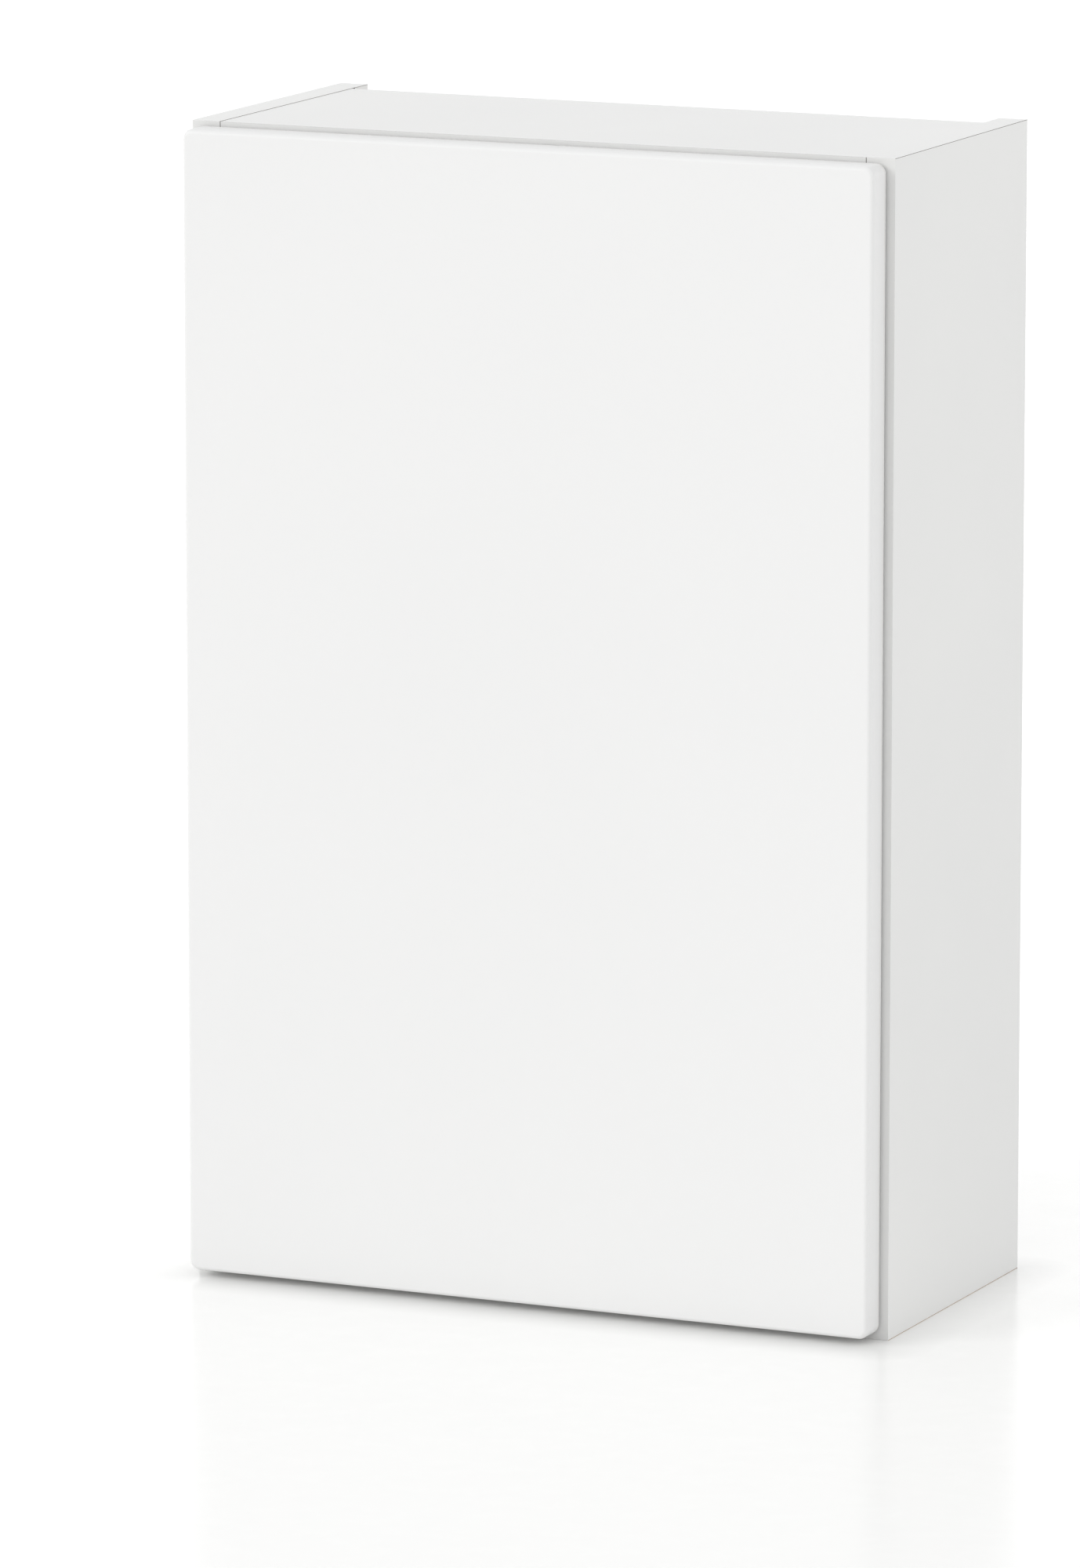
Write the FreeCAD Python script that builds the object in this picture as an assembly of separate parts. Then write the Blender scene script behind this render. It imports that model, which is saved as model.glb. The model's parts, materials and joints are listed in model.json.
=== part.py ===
import FreeCAD, Part
import math
import os

os.makedirs("parts", exist_ok=True)

# Hanging wall cabinet, in millimetres. +X is to the right, +Y towards the wall, +Z up.
# The origin is at the centre of the cabinet's width and depth, level with its underside.

# Driving sizes
cabinet_width = 400.0
cabinet_height = 620.0
carcass_depth = 182.0
board = 16.0
door_thickness = 16.0
door_gap = 2.0

# The door's margins inside the carcass outline
door_inset_left = 2.5
door_inset_right = 4.5
door_inset_bottom = 3.5
door_inset_top = 2.5
door_edge_radius = 2.5
door_corner_radius = 5.5

# Back panel, in grooves of the sides behind the top and bottom panels
panel_setback = 20.0
back_thickness = 3.0
groove_depth = 7.0
groove_clearance = 0.3
back_inset_top = 6.0
back_end_clearance = 0.5

# Shelves and their pins
shelf_side_clearance = 0.8
shelf_front_setback = 22.0
shelf_back_clearance = 2.0
shelf_names = ("shelf_lower", "shelf_upper")
system_row = 37.0
pin_radius = 2.5
pin_in_panel = 8.5
pin_reach = 8.0
hole_end_clearance = 0.5
pin_row_pitch = 32.0

# Cam fittings and dowels of the corner joints
cam_hole_radius = 7.5
cam_side_clearance = 0.1
cam_height = 12.2
cam_drive_half_length = 3.0
cam_drive_half_width = 0.6
cam_drive_depth = 1.5
cam_distance = 24.0
cam_bolt_thread_radius = 2.5
cam_bolt_thread_length = 11.0
cam_bolt_neck_radius = 2.2
cam_bolt_head_radius = 3.4
cam_bolt_head_length = 3.0
cam_bolt_hole_radius = 4.0
cam_cap_radius = 8.8
cam_cap_thickness = 0.9
dowel_radius = 4.0
dowel_in_side = 10.5
dowel_in_panel = 23.5
fitting_inset = 37.0

# Concealed hinge. Its plan is laid out from the left side's inner face (first number)
# and from the carcass's front plane (second number, positive into the cabinet).
# The pins in the cup are set by their depth behind the door's rear face.
hinge_from_end = 100.0
arm_pin = (18.9, 2.2)
guide_pin = (24.0, 7.7)
cup_pin_place = -3.5
cup_pin_depth = 3.5
inner_pin_place = -0.2
inner_pin_depth = 8.2
outer_bend = (8.6, -2.6)
inner_bend = (12.9, 1.8)
arm_pin_radius = 1.5
guide_pin_radius = 1.2
cup_pin_radius = 1.25
running_clearance = 0.05
slot_angle = 62.0
slot_travel = 7.4
slot_side_play = 0.45
slot_wall = 1.1
cup_place = 8.0
cup_bore_radius = 17.5
cup_side_clearance = 0.1
cup_wall = 0.8
cup_floor = 0.6
cup_depth = 11.8
cup_end_clearance = 0.4
cup_notch_depth = 2.2
cup_notch_play = 0.6
cup_flange_thickness = 1.0
cup_flange_half = 31.0
cup_flange_width = 27.0
cup_flange_corner = 6.0
cup_flange_start = 2.0
lug_edge = 2.2
lug_side = 3.0
lug_reach = 5.0
cup_screw_offset = 9.5
cup_screw_half_spacing = 24.0
cup_screw_length = 12.0
inner_half = 5.0
link_gap = 1.5
link_plate = 1.5
flange_gap = 1.0
outer_half_width = 1.8
inner_half_width = 2.0
link_eye_radius = 2.4
arm_eye_radius = 2.8
guide_eye_radius = 3.2
arm_length = 70.0
arm_web = 14.0
arm_web_start = 25.0
arm_shoulder = 3.0
arm_belly = (7.0, 16.0)
arm_lift = 1.0
arm_metal = 1.2
plate_thickness = 2.0
plate_half_width = 7.0
plate_half_height = 24.0
plate_corner = 6.0
plate_side_gap = 1.5
plate_base_length = 42.0
plate_base_start = 22.0
plate_screw_half_spacing = 16.0
plate_screw_radius = 2.5
plate_screw_head_radius = 4.2
plate_screw_head_height = 1.6
plate_screw_in_side = 11.0
arm_screw_radius = 2.0
arm_screw_head_radius = 3.6
arm_screw_head_height = 1.6
arm_screw_length = 9.0
arm_screw_places = (38.0, 56.0)

# Push latch at the right side
latch_height = 86.0
latch_width = 12.0
latch_length = 76.0
latch_half_height = 7.0
latch_corner = 2.0
latch_end_wall = 2.0
latch_flange_half = 17.0
latch_flange_half_width = 6.0
latch_flange_corner = 3.0
latch_flange_thickness = 2.0
latch_screw_half_spacing = 12.0
plunger_radius = 3.4
plunger_clearance = 0.3
plunger_length = 58.0
magnet_radius = 2.4
magnet_length = 3.0
strike_radius = 7.0
strike_thickness = 1.0
touch_clearance = 0.3

# Bumpers on the door
bumper_radius = 3.5
bumper_thickness = 1.5
bumper_from_end = 30.0

# Hanging brackets in the upper rear corners
hanger_width = 16.0
hanger_depth = 54.0
hanger_height = 46.0
hanger_wall = 1.5
hanger_corner = 2.0
hanger_ear_half_width = 9.0
hanger_below_top = 12.0
hanger_flange = 15.0
hanger_top_clearance = 0.5
hook_thickness = 8.0
hook_bar = 9.0
hook_travel = 4.0
hook_lip = 3.0
hook_lip_drop = 13.0
hook_wall_clearance = 3.0
hook_clearance = 0.6
hook_tail_gap = 14.0
adjuster_radius = 2.5
adjuster_length = 10.0
adjuster_head_radius = 3.6
adjuster_head_height = 1.6
adjuster_half_spacing = 12.0

# Wood screws
screw_radius = 1.75
screw_head_radius = 3.4
screw_head_height = 1.7
side_screw_length = 12.0
strike_screw_length = 12.0
round_head_height = 1.6
recess_half_width = 0.4

# Nails of the back panel
nail_radius = 0.7
nail_length = 16.0
nail_head_radius = 1.6
nail_head_thickness = 0.6
nail_count = 4

# Planes worked out from the driving sizes
total_depth = carcass_depth + door_gap + door_thickness
rear = total_depth / 2
front = rear - carcass_depth
left = -cabinet_width / 2
right = cabinet_width / 2
inner_left = left + board
inner_right = right - board
top_underside = cabinet_height - board
door_rear = front - door_gap
door_front = door_rear - door_thickness
door_left = left + door_inset_left
door_right = right - door_inset_right
door_top = cabinet_height - door_inset_top
panel_rear = rear - panel_setback
groove_front = panel_rear + groove_clearance
back_front = groove_front + groove_clearance
groove_width = back_thickness + 2 * groove_clearance
hinge_levels = {
    "top": door_top - hinge_from_end,
    "bottom": door_inset_bottom + hinge_from_end,
}
cup_centre = inner_left + cup_place
cup_radius = cup_bore_radius - cup_side_clearance
cup_pin = (cup_pin_place, -door_gap - cup_pin_depth)
inner_pin = (inner_pin_place, -door_gap - inner_pin_depth)
outer_near = inner_half + link_gap
outer_far = outer_near + link_plate
flange_near = outer_far + flange_gap
flange_far = flange_near + arm_metal
cam_radius = cam_hole_radius - cam_side_clearance
fitting_rows = (front + fitting_inset, panel_rear - fitting_inset)
dowel_step = (fitting_rows[1] - fitting_rows[0]) / 3
dowel_rows = (fitting_rows[0] + dowel_step, fitting_rows[1] - dowel_step)
compartment = (top_underside - board - len(shelf_names) * board) / (len(shelf_names) + 1)
shelf_bottoms = [board + compartment * (n + 1) + board * n for n in range(len(shelf_names))]
shelf_rows = (front + system_row, panel_rear - system_row)
latch_centre = inner_right - latch_width / 2
hook_level = top_underside - hanger_below_top - hanger_height / 2
margin = 1.0


def vector(x, y, z):
    return FreeCAD.Vector(x, y, z)


def box(x0, x1, y0, y1, z0, z1):
    return Part.makeBox(x1 - x0, y1 - y0, z1 - z0, vector(x0, y0, z0))


def rod(start, direction, radius, length):
    return Part.makeCylinder(radius, length, vector(*start), vector(*direction))


def joined(shapes):
    whole = shapes[0]
    for shape in shapes[1:]:
        whole = whole.fuse(shape)
    return whole.removeSplitter()


def cut_all(shape, tools):
    for tool in tools:
        shape = shape.cut(tool)
    return shape


def keep(name, shapes):
    """Write one node: a single solid, or a group of separate solids."""
    group = shapes if isinstance(shapes, list) else [shapes]
    solids = []
    for shape in group:
        solids.extend(shape.Solids)
    whole = solids[0] if len(solids) == 1 else Part.makeCompound(solids)
    whole.exportStep("parts/" + name + ".step")


def rounded_plate(x0, x1, y0, y1, z0, z1, radius, across):
    """A box whose four edges along one axis are rounded."""
    plate = box(x0, x1, y0, y1, z0, z1)
    edges = [edge for edge in plate.Edges if runs_along(edge, across)]
    return plate.makeFillet(radius, edges)


def runs_along(edge, axis):
    first, last = edge.Vertexes[0].Point, edge.Vertexes[-1].Point
    span = last - first
    return abs(span.dot(vector(*axis))) > 0.999 * span.Length


def plan(point):
    """From the hinge's own plan to the cabinet's X and Y."""
    return inner_left + point[0], front + point[1]


def bar(start, end, half_width, z0, z1):
    """A flat bar with round ends, drawn in the hinge's plan."""
    x0, y0 = plan(start)
    x1, y1 = plan(end)
    length = math.hypot(x1 - x0, y1 - y0)
    across = vector(-(y1 - y0) / length, (x1 - x0) / length, 0) * half_width
    a, b = vector(x0, y0, z0), vector(x1, y1, z0)
    outline = Part.makePolygon([a + across, b + across, b - across, a - across, a + across])
    middle = Part.Face(outline).extrude(vector(0, 0, z1 - z0))
    ends = [rod((x, y, z0), (0, 0, 1), half_width, z1 - z0) for x, y in ((x0, y0), (x1, y1))]
    return joined([middle] + ends)


def disc(point, radius, z0, z1):
    x, y = plan(point)
    return rod((x, y, z0), (0, 0, 1), radius, z1 - z0)


def prism(points, z0, z1):
    corners = [vector(*plan(point), z0) for point in points]
    outline = Part.makePolygon(corners + corners[:1])
    return Part.Face(outline).extrude(vector(0, 0, z1 - z0))


def countersunk_screw(head, direction, length):
    """A wood screw whose flat head is flush at the given point."""
    start, way = vector(*head), vector(*direction)
    cone = Part.makeCone(screw_head_radius, screw_radius, screw_head_height, start, way)
    shank = Part.makeCylinder(screw_radius, length, start, way)
    return joined([cone, shank])


def pan_screw(seat, direction, radius, length, head_radius, head_height):
    """A screw whose round head stands on the seat; direction points into the work."""
    start, way = vector(*seat), vector(*direction)
    shank = Part.makeCylinder(radius, length, start, way)
    head = Part.makeCylinder(head_radius, head_height, start, way * -1)
    corner = vector(-head_radius / 2, -recess_half_width, 0)
    recess = Part.makeBox(head_radius, 2 * recess_half_width, head_height / 2, corner)
    cross = recess.copy()
    cross.rotate(vector(0, 0, 0), vector(0, 0, 1), 90)
    slots = recess.fuse(cross)
    turn = FreeCAD.Rotation(vector(0, 0, 1), way * -1)
    slots.Placement = FreeCAD.Placement(start - way * (head_height / 2), turn)
    return joined([shank, head]).cut(slots)


# Carcass boards

def corner_places():
    """Every corner joint: side of the cabinet, level of the panel, way to its inner face."""
    places = []
    for side in (-1, 1):
        places.append((side, board / 2, 1))
        places.append((side, cabinet_height - board / 2, -1))
    return places


def inner_face(side):
    return side * (cabinet_width / 2 - board)


def side_panel(side):
    outer = side * cabinet_width / 2
    inner = inner_face(side)
    panel = box(min(outer, inner), max(outer, inner), front, rear, 0, cabinet_height)
    bottom_of_groove = inner + side * groove_depth
    groove = box(min(inner, bottom_of_groove), max(inner, bottom_of_groove),
                 groove_front, groove_front + groove_width, -margin, cabinet_height + margin)
    holes = [groove]
    for place, level, way in corner_places():
        if place == side:
            for row in fitting_rows:
                holes.append(rod((inner, row, level), (side, 0, 0),
                                 cam_bolt_thread_radius, cam_bolt_thread_length + hole_end_clearance))
            for row in dowel_rows:
                holes.append(rod((inner, row, level), (side, 0, 0),
                                 dowel_radius, dowel_in_side + hole_end_clearance))
    for level in shelf_pin_levels():
        for row in shelf_rows:
            for step in (-1, 0, 1):
                holes.append(rod((inner, row, level + step * pin_row_pitch), (side, 0, 0),
                                 pin_radius, pin_in_panel + hole_end_clearance))
    holes.append(hanger_screw(side, 1))
    holes.append(hanger_screw(side, -1))
    if side < 0:
        holes.extend(plate_screws())
    else:
        holes.extend(latch_screws())
    return cut_all(panel, holes)


def level_panel(level, way):
    """Top or bottom panel; way is the Z direction of its inner face."""
    panel = box(inner_left, inner_right, front, panel_rear, level - board / 2, level + board / 2)
    inner = level + way * board / 2
    holes = []
    for side in (-1, 1):
        end = inner_face(side)
        for row in fitting_rows:
            holes.append(rod((end, row, level), (-side, 0, 0), cam_bolt_hole_radius, cam_distance))
            holes.append(rod((end - side * cam_distance, row, inner), (0, 0, -way),
                             cam_hole_radius, cam_height + hole_end_clearance))
        for row in dowel_rows:
            holes.append(rod((end, row, level), (-side, 0, 0),
                             dowel_radius, dowel_in_panel + hole_end_clearance))
    for nail in nails_at(level):
        holes.append(nail)
    return cut_all(panel, holes)


def hook_slot(side):
    centre = inner_face(side) - side * hanger_width / 2
    half = hook_thickness / 2 + hook_clearance
    low = hook_level - hook_bar / 2 - hook_lip_drop - hook_travel - hook_clearance
    high = hook_level + hook_bar / 2 + hook_travel + hook_clearance
    return box(centre - half, centre + half, back_front - margin, rear, low, high)


def back_panel():
    reach = groove_depth - back_end_clearance
    panel = box(inner_left - reach, inner_right + reach, back_front, back_front + back_thickness,
                0, cabinet_height - back_inset_top)
    tools = [hook_slot(-1), hook_slot(1)] + nails_at(board / 2)
    tools += nails_at(cabinet_height - board / 2)
    return cut_all(panel, tools)


def nails_at(level):
    """A row of nails through the back panel into the rear edge of a panel."""
    spacing = (inner_right - inner_left) / nail_count
    behind = back_front + back_thickness
    nails = []
    for number in range(nail_count):
        x = inner_left + spacing * (number + 0.5)
        shank = rod((x, behind, level), (0, -1, 0), nail_radius, nail_length)
        head = rod((x, behind, level), (0, 1, 0), nail_head_radius, nail_head_thickness)
        nails.append(joined([shank, head]))
    return nails


# Corner fittings

def cam_bolts():
    bolts = []
    for side, level, way in corner_places():
        for row in fitting_rows:
            start = inner_face(side)
            neck_length = cam_distance - cam_bolt_head_length
            thread = rod((start, row, level), (side, 0, 0), cam_bolt_thread_radius, cam_bolt_thread_length)
            neck = rod((start, row, level), (-side, 0, 0), cam_bolt_neck_radius, neck_length)
            head = rod((start - side * neck_length, row, level), (-side, 0, 0),
                       cam_bolt_head_radius, cam_bolt_head_length)
            bolts.append(joined([thread, neck, head]))
    return bolts


def cam_locks():
    locks = []
    for side, level, way in corner_places():
        inner = level + way * board / 2
        for row in fitting_rows:
            centre = inner_face(side) - side * cam_distance
            body = rod((centre, row, inner), (0, 0, -way), cam_radius, cam_height)
            mouth = rod((centre - side * margin, row, level), (side, 0, 0),
                        cam_bolt_hole_radius, cam_radius + 2 * margin)
            drive = box(centre - cam_drive_half_length, centre + cam_drive_half_length,
                        row - cam_drive_half_width, row + cam_drive_half_width,
                        inner - cam_drive_depth, inner + cam_drive_depth)
            locks.append(body.cut(mouth).cut(drive))
    return locks


def cam_caps():
    caps = []
    for side, level, way in corner_places():
        inner = level + way * board / 2
        for row in fitting_rows:
            centre = inner_face(side) - side * cam_distance
            caps.append(rod((centre, row, inner), (0, 0, way), cam_cap_radius, cam_cap_thickness))
    return caps


def wood_dowels():
    dowels = []
    for side, level, way in corner_places():
        for row in dowel_rows:
            start = inner_face(side) + side * dowel_in_side
            dowels.append(rod((start, row, level), (-side, 0, 0),
                              dowel_radius, dowel_in_side + dowel_in_panel))
    return dowels


# Shelves

def shelf_pin_levels():
    return [bottom - pin_radius for bottom in shelf_bottoms]


def shelf(bottom):
    return box(inner_left + shelf_side_clearance, inner_right - shelf_side_clearance,
               front + shelf_front_setback, back_front - shelf_back_clearance, bottom, bottom + board)


def shelf_pins():
    pins = []
    for level in shelf_pin_levels():
        for side in (-1, 1):
            for row in shelf_rows:
                start = inner_face(side) + side * pin_in_panel
                pins.append(rod((start, row, level), (-side, 0, 0), pin_radius, pin_in_panel + pin_reach))
    return pins


# Hinge parts that stay on the carcass

def plate_screws():
    screws = []
    for level in hinge_levels.values():
        for way in (-1, 1):
            seat = (inner_left + plate_thickness, front + system_row, level + way * plate_screw_half_spacing)
            screws.append(pan_screw(seat, (-1, 0, 0), plate_screw_radius,
                                    plate_thickness + plate_screw_in_side,
                                    plate_screw_head_radius, plate_screw_head_height))
    return screws


def arm_screws():
    screws = []
    for level in hinge_levels.values():
        for place in arm_screw_places:
            seat = (inner_left + arm_web + arm_metal, front + place, level)
            screws.append(pan_screw(seat, (-1, 0, 0), arm_screw_radius, arm_screw_length,
                                    arm_screw_head_radius, arm_screw_head_height))
    return screws


def hinge_plate(level):
    row = front + system_row
    wings = rounded_plate(inner_left, inner_left + plate_thickness, row - plate_half_width,
                          row + plate_half_width, level - plate_half_height,
                          level + plate_half_height, plate_corner, (1, 0, 0))
    plate_base_half = flange_near - plate_side_gap
    base = box(inner_left, inner_left + arm_web, front + plate_base_start,
               front + plate_base_start + plate_base_length, level - plate_base_half,
               level + plate_base_half)
    return cut_all(joined([wings, base]), plate_screws() + arm_screws())


def hinge_arm(level):
    """A channel over the mounting plate, with two flanges that carry the link pins."""
    web_outside = arm_web + arm_metal
    foot = plate_thickness + arm_lift
    shoulder = (guide_pin[0] + arm_shoulder, guide_pin[1] + arm_shoulder)
    outline = [(foot, arm_length), (web_outside, arm_length), (web_outside, arm_web_start),
               shoulder, arm_pin, arm_belly, (foot, arm_web_start)]
    pieces = [box(inner_left + arm_web, inner_left + web_outside, front + arm_web_start,
                  front + arm_length, level - flange_far, level + flange_far)]
    for way in (-1, 1):
        z0, z1 = sorted((level + way * flange_near, level + way * flange_far))
        pieces.append(prism(outline, z0, z1))
        pieces.append(disc(arm_pin, arm_eye_radius, z0, z1))
        pieces.append(disc(guide_pin, guide_eye_radius, z0, z1))
    return cut_all(joined(pieces), arm_pins_at(level) + arm_screws())


def arm_pins_at(level):
    """Stub pins for the outer link's plates and one long guide pin for the inner link."""
    pins = [disc(arm_pin, arm_pin_radius, *sorted((level + way * outer_near, level + way * flange_far)))
            for way in (-1, 1)]
    pins.append(disc(guide_pin, guide_pin_radius, level - flange_far, level + flange_far))
    return pins


# Hinge links

def outer_link(level):
    bend = (cup_pin[0] + outer_bend[0], cup_pin[1] + outer_bend[1])
    plates = []
    for way in (-1, 1):
        z0, z1 = sorted((level + way * outer_near, level + way * outer_far))
        plate = joined([bar(cup_pin, bend, outer_half_width, z0, z1),
                        bar(bend, arm_pin, outer_half_width, z0, z1),
                        disc(cup_pin, link_eye_radius, z0, z1),
                        disc(arm_pin, arm_eye_radius, z0, z1)])
        plates.append(cut_all(plate, [disc(cup_pin, cup_pin_radius + running_clearance, z0, z1),
                                      disc(arm_pin, arm_pin_radius + running_clearance, z0, z1)]))
    return plates


def slot_end():
    turn = math.radians(slot_angle)
    return (guide_pin[0] + slot_travel * math.cos(turn), guide_pin[1] + slot_travel * math.sin(turn))


def inner_link(level):
    """A cranked link whose far end slides on the arm's guide pin in a long slot."""
    z0, z1 = level - inner_half, level + inner_half
    bend = (inner_pin[0] + inner_bend[0], inner_pin[1] + inner_bend[1])
    slot_half = guide_pin_radius + slot_side_play
    body = joined([bar(inner_pin, bend, inner_half_width, z0, z1),
                   bar(bend, guide_pin, inner_half_width, z0, z1),
                   disc(inner_pin, link_eye_radius, z0, z1),
                   bar(guide_pin, slot_end(), slot_half + slot_wall, z0, z1)])
    slot = bar(guide_pin, slot_end(), slot_half, z0 - margin, z1 + margin)
    bore = disc(inner_pin, cup_pin_radius + running_clearance, z0 - margin, z1 + margin)
    return body.cut(slot).cut(bore)


# Door and what is fixed to it

def door_panel():
    panel = rounded_plate(door_left, door_right, door_front, door_rear, door_inset_bottom, door_top,
                          door_corner_radius, (0, 1, 0))
    rim = [edge for edge in panel.Edges if edge.BoundBox.YMax < door_front + 0.01]
    panel = panel.makeFillet(door_edge_radius, rim)
    tools = [strike_screw()]
    for level in hinge_levels.values():
        tools.append(rod((cup_centre, door_rear, level), (0, -1, 0),
                         cup_bore_radius, cup_depth + cup_end_clearance))
    return cut_all(panel, tools + cup_screws())


def cup_screws():
    seat = door_rear + cup_flange_thickness
    screws = []
    for level in hinge_levels.values():
        for way in (-1, 1):
            head = (cup_centre + cup_screw_offset, seat, level + way * cup_screw_half_spacing)
            screws.append(countersunk_screw(head, (0, -1, 0), cup_screw_length))
    return screws


def cup_pins_at(level):
    """Stub pins for the outer link's plates and one long pin for the inner link."""
    pins = [disc(cup_pin, cup_pin_radius, *sorted((level + way * outer_near, level + way * flange_far)))
            for way in (-1, 1)]
    pins.append(disc(inner_pin, cup_pin_radius, level - flange_far, level + flange_far))
    return pins


def hinge_cup(level):
    shell = rod((cup_centre, door_rear, level), (0, -1, 0), cup_radius, cup_depth)
    hollow = rod((cup_centre, door_rear + 2 * margin, level), (0, -1, 0),
                 cup_radius - cup_wall, cup_depth - cup_floor + 2 * margin)
    flange_left = inner_left + cup_flange_start
    flange = rounded_plate(flange_left, flange_left + cup_flange_width, door_rear,
                           door_rear + cup_flange_thickness, level - cup_flange_half,
                           level + cup_flange_half, cup_flange_corner, (0, 1, 0))
    floor = -door_gap - cup_depth
    lug_outline = [(cup_pin[0] - lug_side, cup_pin[1] + lug_edge),
                   (cup_pin[0] + lug_side, cup_pin[1] + lug_edge),
                   (inner_pin[0] + lug_reach, inner_pin[1] + lug_edge),
                   (inner_pin[0] + lug_reach, floor), (cup_pin[0] - lug_side, floor)]
    lugs = []
    for way in (-1, 1):
        z0, z1 = sorted((level + way * flange_near, level + way * flange_far))
        lugs.append(prism(lug_outline, z0, z1).common(shell))
    notch_half = outer_far + cup_notch_play
    notch = box(cup_centre - cup_radius - margin, inner_left + cup_pin[0], door_rear - cup_notch_depth,
                door_rear + margin, level - notch_half, level + notch_half)
    body = joined([shell, flange]).cut(hollow).cut(notch)
    return cut_all(joined([body] + lugs), cup_pins_at(level) + cup_screws())


def strike_plate():
    plate = rod((latch_centre, door_rear, latch_height), (0, 1, 0), strike_radius, strike_thickness)
    return plate.cut(strike_screw())


def strike_screw():
    head = (latch_centre, door_rear + strike_thickness, latch_height)
    return countersunk_screw(head, (0, -1, 0), strike_screw_length)


def door_bumpers():
    x = door_right - door_corner_radius
    levels = (door_inset_bottom + bumper_from_end, door_top - bumper_from_end)
    return [rod((x, door_rear, z), (0, 1, 0), bumper_radius, bumper_thickness) for z in levels]


# Push latch

def latch_housing():
    start = front + margin
    body = rounded_plate(inner_right - latch_width, inner_right, start, start + latch_length,
                         latch_height - latch_half_height, latch_height + latch_half_height,
                         latch_corner, (0, 1, 0))
    row = front + system_row
    ears = rounded_plate(inner_right - latch_flange_thickness, inner_right,
                         row - latch_flange_half_width, row + latch_flange_half_width,
                         latch_height - latch_flange_half, latch_height + latch_flange_half,
                         latch_flange_corner, (1, 0, 0))
    bore = rod((latch_centre, start, latch_height), (0, 1, 0),
               plunger_radius + plunger_clearance, latch_length - latch_end_wall)
    return cut_all(joined([body, ears]), [bore] + latch_screws())


def latch_screws():
    screws = []
    for way in (-1, 1):
        seat = (inner_right - latch_flange_thickness, front + system_row,
                latch_height + way * latch_screw_half_spacing)
        screws.append(pan_screw(seat, (1, 0, 0), screw_radius, side_screw_length,
                                screw_head_radius, round_head_height))
    return screws


def plunger_tip():
    return door_rear + strike_thickness + touch_clearance


def latch_plunger():
    body = rod((latch_centre, plunger_tip(), latch_height), (0, 1, 0), plunger_radius, plunger_length)
    return body.cut(latch_magnet())


def latch_magnet():
    return rod((latch_centre, plunger_tip(), latch_height), (0, 1, 0), magnet_radius, magnet_length)


# Hanging brackets

def hanger_ends(side):
    near = inner_face(side)
    far = near - side * hanger_width
    return min(near, far), max(near, far)


def hanger_screw(side, way):
    """One of the two screws that hold a bracket; way is up or down."""
    edge = inner_face(side) - side * hanger_wall
    level = hook_level + way * (hanger_height / 2 + hanger_flange / 2)
    return pan_screw((edge, hanger_middle(), level), (side, 0, 0), screw_radius, side_screw_length,
                     screw_head_radius, round_head_height)


def hanger_middle():
    return back_front - hanger_depth / 2 - margin


def hanger_housing(side):
    x0, x1 = hanger_ends(side)
    y0, y1 = hanger_middle() - hanger_depth / 2, hanger_middle() + hanger_depth / 2
    z0, z1 = hook_level - hanger_height / 2, hook_level + hanger_height / 2
    shell = rounded_plate(x0, x1, y0, y1, z0, z1, hanger_corner, (0, 1, 0))
    cavity = box(x0 + hanger_wall, x1 - hanger_wall, y0 + hanger_wall, y1 + margin,
                 z0 + hanger_wall, z1 - hanger_wall)
    near = inner_face(side)
    ear_edge = near - side * hanger_wall
    ears = box(min(near, ear_edge), max(near, ear_edge),
               hanger_middle() - hanger_ear_half_width, hanger_middle() + hanger_ear_half_width,
               z0 - hanger_flange, z1 + hanger_below_top - hanger_top_clearance)
    body = joined([shell, ears]).cut(cavity)
    return cut_all(body, hanger_adjusters_at(side) + [hanger_screw(side, 1), hanger_screw(side, -1)])


def hanger_adjusters_at(side):
    """The height and depth screws, with their heads on the bracket's front."""
    x = inner_face(side) - side * hanger_width / 2
    seat_y = hanger_middle() - hanger_depth / 2
    screws = []
    for way in (-1, 1):
        seat = (x, seat_y, hook_level + way * adjuster_half_spacing)
        screws.append(pan_screw(seat, (0, 1, 0), adjuster_radius, adjuster_length,
                                adjuster_head_radius, adjuster_head_height))
    return screws


def hanger_hook(side):
    x = inner_face(side) - side * hanger_width / 2
    x0, x1 = x - hook_thickness / 2, x + hook_thickness / 2
    tail = hanger_middle() - hanger_depth / 2 + hook_tail_gap
    tip = rear - hook_wall_clearance
    low, high = hook_level - hook_bar / 2, hook_level + hook_bar / 2
    arm = box(x0, x1, tail, tip, low, high)
    lip = box(x0, x1, tip - hook_lip, tip, low - hook_lip_drop, high)
    return joined([arm, lip])


keep("side_panel_left", side_panel(-1))
keep("side_panel_right", side_panel(1))
keep("top_panel", level_panel(cabinet_height - board / 2, -1))
keep("bottom_panel", level_panel(board / 2, 1))
keep("back_panel", back_panel())
keep("back_nails", nails_at(board / 2) + nails_at(cabinet_height - board / 2))
keep("cam_bolts", cam_bolts())
keep("cam_locks", cam_locks())
keep("cam_caps", cam_caps())
keep("wood_dowels", wood_dowels())
for name, bottom in zip(shelf_names, shelf_bottoms):
    keep(name, shelf(bottom))
keep("shelf_pins", shelf_pins())

arm_pins = []
cup_pins = []
for end, level in hinge_levels.items():
    keep("hinge_plate_" + end, hinge_plate(level))
    keep("hinge_arm_" + end, hinge_arm(level))
    keep("hinge_cup_" + end, hinge_cup(level))
    keep("outer_link_" + end, outer_link(level))
    keep("inner_link_" + end, inner_link(level))
    arm_pins.extend(arm_pins_at(level))
    cup_pins.extend(cup_pins_at(level))
keep("plate_screws", plate_screws())
keep("arm_screws", arm_screws())
keep("arm_pins", arm_pins)
keep("cup_pins", cup_pins)
keep("cup_screws", cup_screws())

keep("door_panel", door_panel())
keep("strike_plate", strike_plate())
keep("strike_screw", strike_screw())
keep("door_bumpers", door_bumpers())

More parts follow.
